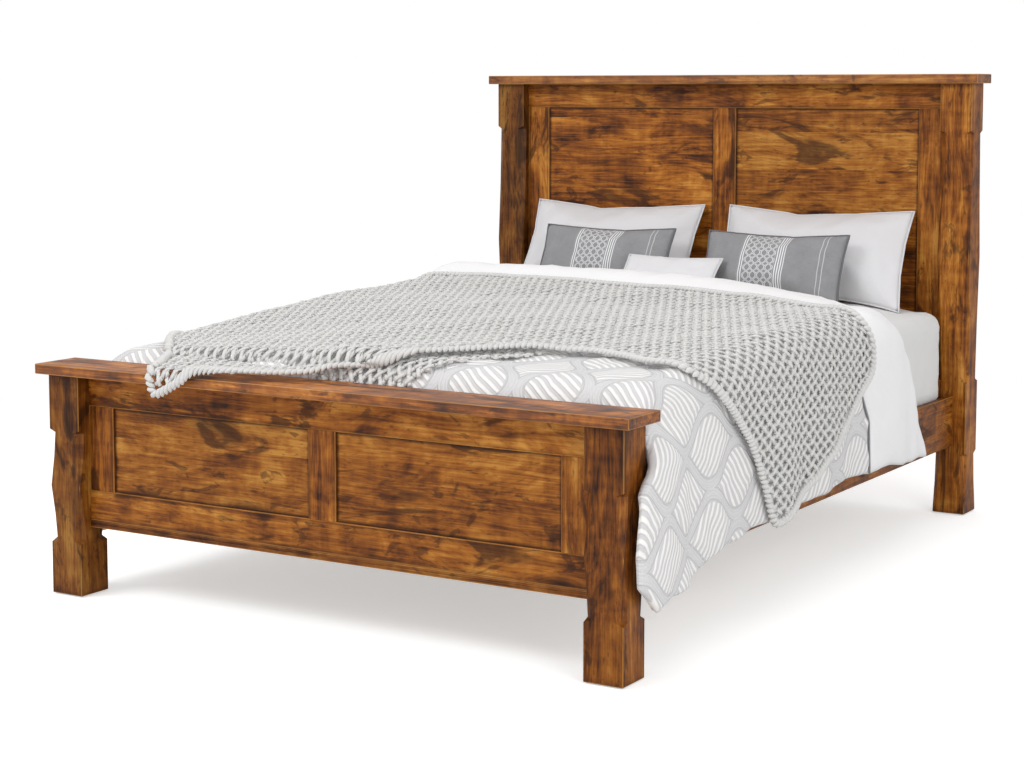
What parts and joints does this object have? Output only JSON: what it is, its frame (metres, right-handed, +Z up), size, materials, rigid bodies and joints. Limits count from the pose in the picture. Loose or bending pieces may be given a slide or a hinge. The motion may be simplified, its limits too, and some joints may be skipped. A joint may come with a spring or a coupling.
{
  "type": "panel bed",
  "caption": "Rustic wooden panel bed: square posts with tapered chamfers, flat panelled head and footboard, slatted base, made up with bedding.",
  "frame": {"origin": "on the floor, under the middle of the bed's outline", "axes": "+X across the bed to its right seen from the foot, +Y from the footboard to the headboard, +Z up"},
  "size_m": [1.724, 2.306, 1.345],
  "materials": {
    "stained_wood": "satin lacquer over a brown stain",
    "pale_wood": "planed, unfinished",
    "plate_steel": "zinc plated",
    "glide_plastic": "matte",
    "ticking": "fitted sheet, matte",
    "white_linen": "matte",
    "quilted_linen": "quilted, matte",
    "grey_linen": "matte",
    "crocheted_wool": "openwork, matte"
  },
  "bodies": {
    "bed": {"beam_brackets": "plate_steel", "bracket_screws": "plate_steel", "centre_beam": "pale_wood", "comforter": "quilted_linen", "cushion_left": "grey_linen", "cushion_right": "grey_linen", "cushion_small": "white_linen", "duvet": "white_linen", "foot_base_moulding": "stained_wood", "foot_bottom_rail": "stained_wood", "foot_cap": "stained_wood", "foot_panel_left": "stained_wood", "foot_panel_right": "stained_wood", "foot_post_left": "stained_wood", "foot_post_right": "stained_wood", "foot_stile_centre": "stained_wood", "foot_stile_left": "stained_wood", "foot_stile_right": "stained_wood", "foot_top_rail": "stained_wood", "head_bottom_rail": "stained_wood", "head_cap": "stained_wood", "head_panel_left": "stained_wood", "head_panel_right": "stained_wood", "head_post_left": "stained_wood", "head_post_right": "stained_wood", "head_stile_centre": "stained_wood", "head_stile_left": "stained_wood", "head_stile_right": "stained_wood", "head_top_rail": "stained_wood", "ledger_left": "pale_wood", "ledger_right": "pale_wood", "ledger_screws": "plate_steel", "leg_inserts": "plate_steel", "mattress": "ticking", "pillow_left": "white_linen", "pillow_right": "white_linen", "plate_screws": "plate_steel", "post_glides": "glide_plastic", "post_slot_plates": "plate_steel", "rail_hook_plates": "plate_steel", "side_rail_left": "stained_wood", "side_rail_right": "stained_wood", "slat_01": "pale_wood", "slat_02": "pale_wood", "slat_03": "pale_wood", "slat_04": "pale_wood", "slat_05": "pale_wood", "slat_06": "pale_wood", "slat_07": "pale_wood", "slat_08": "pale_wood", "slat_09": "pale_wood", "slat_10": "pale_wood", "slat_11": "pale_wood", "slat_12": "pale_wood", "slat_screws": "plate_steel", "support_leg_foot_end": "pale_wood", "support_leg_head_end": "pale_wood", "throw": "crocheted_wool"},
    "foot_end_leveller": {"leveller_foot_end": "plate_steel"},
    "head_end_leveller": {"leveller_head_end": "plate_steel"}
  },
  "joints": [
    {"name": "foot_end_leveller_out", "type": "slide", "parent": "bed", "child": "foot_end_leveller", "axis": [0, 0, -1], "range_m": [0, 0.02]},
    {"name": "head_end_leveller_out", "type": "slide", "parent": "bed", "child": "head_end_leveller", "axis": [0, 0, -1], "range_m": [0, 0.02]}
  ]
}
